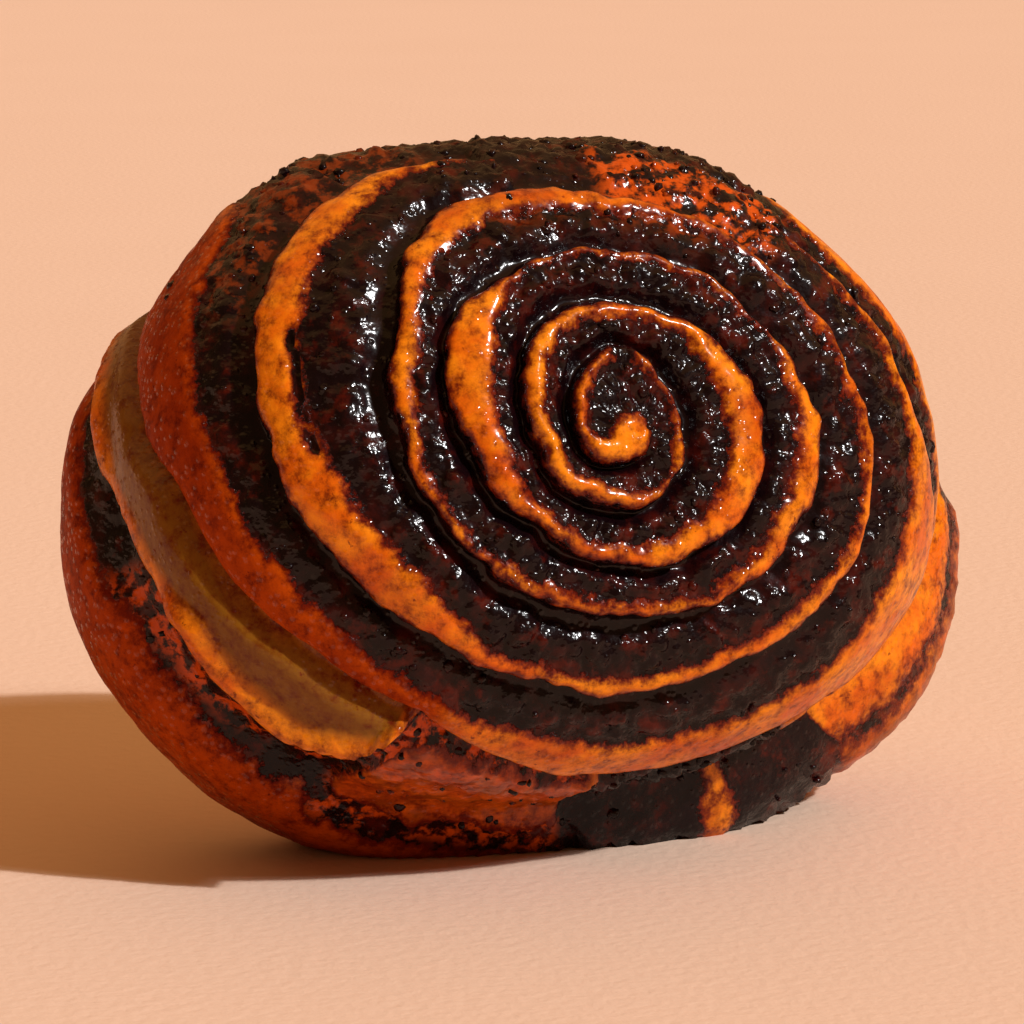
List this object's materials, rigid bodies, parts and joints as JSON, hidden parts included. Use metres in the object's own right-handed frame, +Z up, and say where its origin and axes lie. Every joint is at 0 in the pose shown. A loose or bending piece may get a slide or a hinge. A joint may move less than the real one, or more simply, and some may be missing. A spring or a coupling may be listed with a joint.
{
  "type": "chocolate roll",
  "caption": "Baked swirl bun of sweet dough and chocolate filling, with a domed swirled face and a broader outer turn, standing on its side on a small flat.",
  "frame": {"origin": "on the surface the roll stands on, under the middle of its bounding box", "axes": "+Z up, the roll's long way across along +X, the swirled face towards -Y and turned 24 degrees towards +X and 15 degrees up"},
  "size_m": [0.1174, 0.0936, 0.093],
  "materials": {
    "glazed_crust": "glossy baked dough and chocolate"
  },
  "bodies": {
    "root": {"chocolate_roll": "glazed_crust"}
  },
  "joints": []
}
